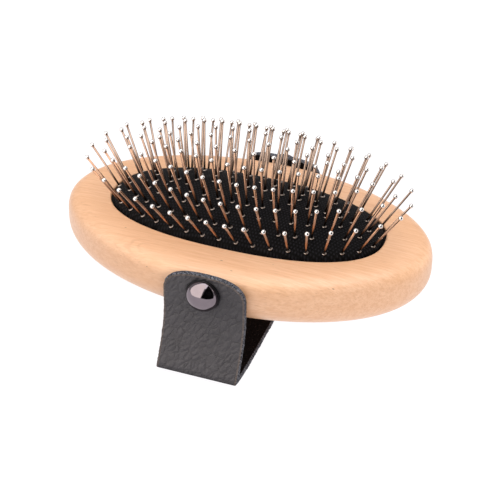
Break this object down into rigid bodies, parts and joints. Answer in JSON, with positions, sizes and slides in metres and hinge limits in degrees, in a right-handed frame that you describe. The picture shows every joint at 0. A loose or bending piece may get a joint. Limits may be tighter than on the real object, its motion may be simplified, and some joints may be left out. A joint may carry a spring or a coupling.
{
  "type": "palm brush",
  "caption": "Oval wooden palm brush with ball-tipped metal pins in a domed air cushion and a riveted leather hand strap.",
  "frame": {"origin": "centre of the wooden body's flat back face", "axes": "+X along the oval's long axis, -Y towards the front long side, +Z towards the side the pins stand on"},
  "size_m": [0.13, 0.0935, 0.0635],
  "materials": {
    "beech": "fine sanded and oiled",
    "rubber": "matte",
    "woven_fabric": "woven, matte",
    "pin_steel": "polished",
    "leather": "pebble grain, satin",
    "cap_metal": "polished gunmetal",
    "black_steel": "blackened"
  },
  "bodies": {
    "brush": {"wood_body": "beech", "rubber_cushion": "rubber", "cushion_fabric": "woven_fabric", "front_strap_screw": "black_steel", "front_strap_washer": "black_steel", "front_strap_cap": "cap_metal", "rear_strap_screw": "black_steel", "rear_strap_washer": "black_steel", "rear_strap_cap": "cap_metal"},
    "strap": {"hand_strap": "leather"},
    "pins_ring_1": {"pins_ring_1_quarter_1": "pin_steel", "pins_ring_1_quarter_2": "pin_steel", "pins_ring_1_quarter_3": "pin_steel", "pins_ring_1_quarter_4": "pin_steel"},
    "pins_ring_2": {"pins_ring_2_quarter_1": "pin_steel", "pins_ring_2_quarter_2": "pin_steel", "pins_ring_2_quarter_3": "pin_steel", "pins_ring_2_quarter_4": "pin_steel"},
    "pins_ring_3": {"pins_ring_3_quarter_1": "pin_steel", "pins_ring_3_quarter_2": "pin_steel", "pins_ring_3_quarter_3": "pin_steel", "pins_ring_3_quarter_4": "pin_steel"},
    "pins_ring_4": {"pins_ring_4_quarter_1": "pin_steel", "pins_ring_4_quarter_2": "pin_steel", "pins_ring_4_quarter_3": "pin_steel", "pins_ring_4_quarter_4": "pin_steel"},
    "pins_ring_5": {"pins_ring_5_quarter_1": "pin_steel", "pins_ring_5_quarter_2": "pin_steel", "pins_ring_5_quarter_3": "pin_steel", "pins_ring_5_quarter_4": "pin_steel"}
  },
  "joints": [
    {"name": "strap_swing", "type": "hinge", "parent": "brush", "child": "strap", "pos_m": [0, 0, 0.014], "axis": [0, 1, 0], "range_deg": [-30, 30]},
    {"name": "ring_5_press", "type": "slide", "parent": "brush", "child": "pins_ring_5", "axis": [0, 0, 1], "range_m": [-0.004, 0], "stiffness_N_per_m": 1500, "deforming": ["rubber_cushion", "cushion_fabric"]},
    {"name": "ring_4_press", "type": "slide", "parent": "brush", "child": "pins_ring_4", "axis": [0, 0, 1], "range_m": [-0.00376, 0]},
    {"name": "ring_3_press", "type": "slide", "parent": "brush", "child": "pins_ring_3", "axis": [0, 0, 1], "range_m": [-0.00324, 0]},
    {"name": "ring_2_press", "type": "slide", "parent": "brush", "child": "pins_ring_2", "axis": [0, 0, 1], "range_m": [-0.0024, 0]},
    {"name": "ring_1_press", "type": "slide", "parent": "brush", "child": "pins_ring_1", "axis": [0, 0, 1], "range_m": [-0.00128, 0]}
  ],
  "couplings": [
    {"joint": "ring_4_press", "follows": "ring_5_press", "ratio": 0.94},
    {"joint": "ring_3_press", "follows": "ring_5_press", "ratio": 0.81},
    {"joint": "ring_2_press", "follows": "ring_5_press", "ratio": 0.6},
    {"joint": "ring_1_press", "follows": "ring_5_press", "ratio": 0.32}
  ]
}
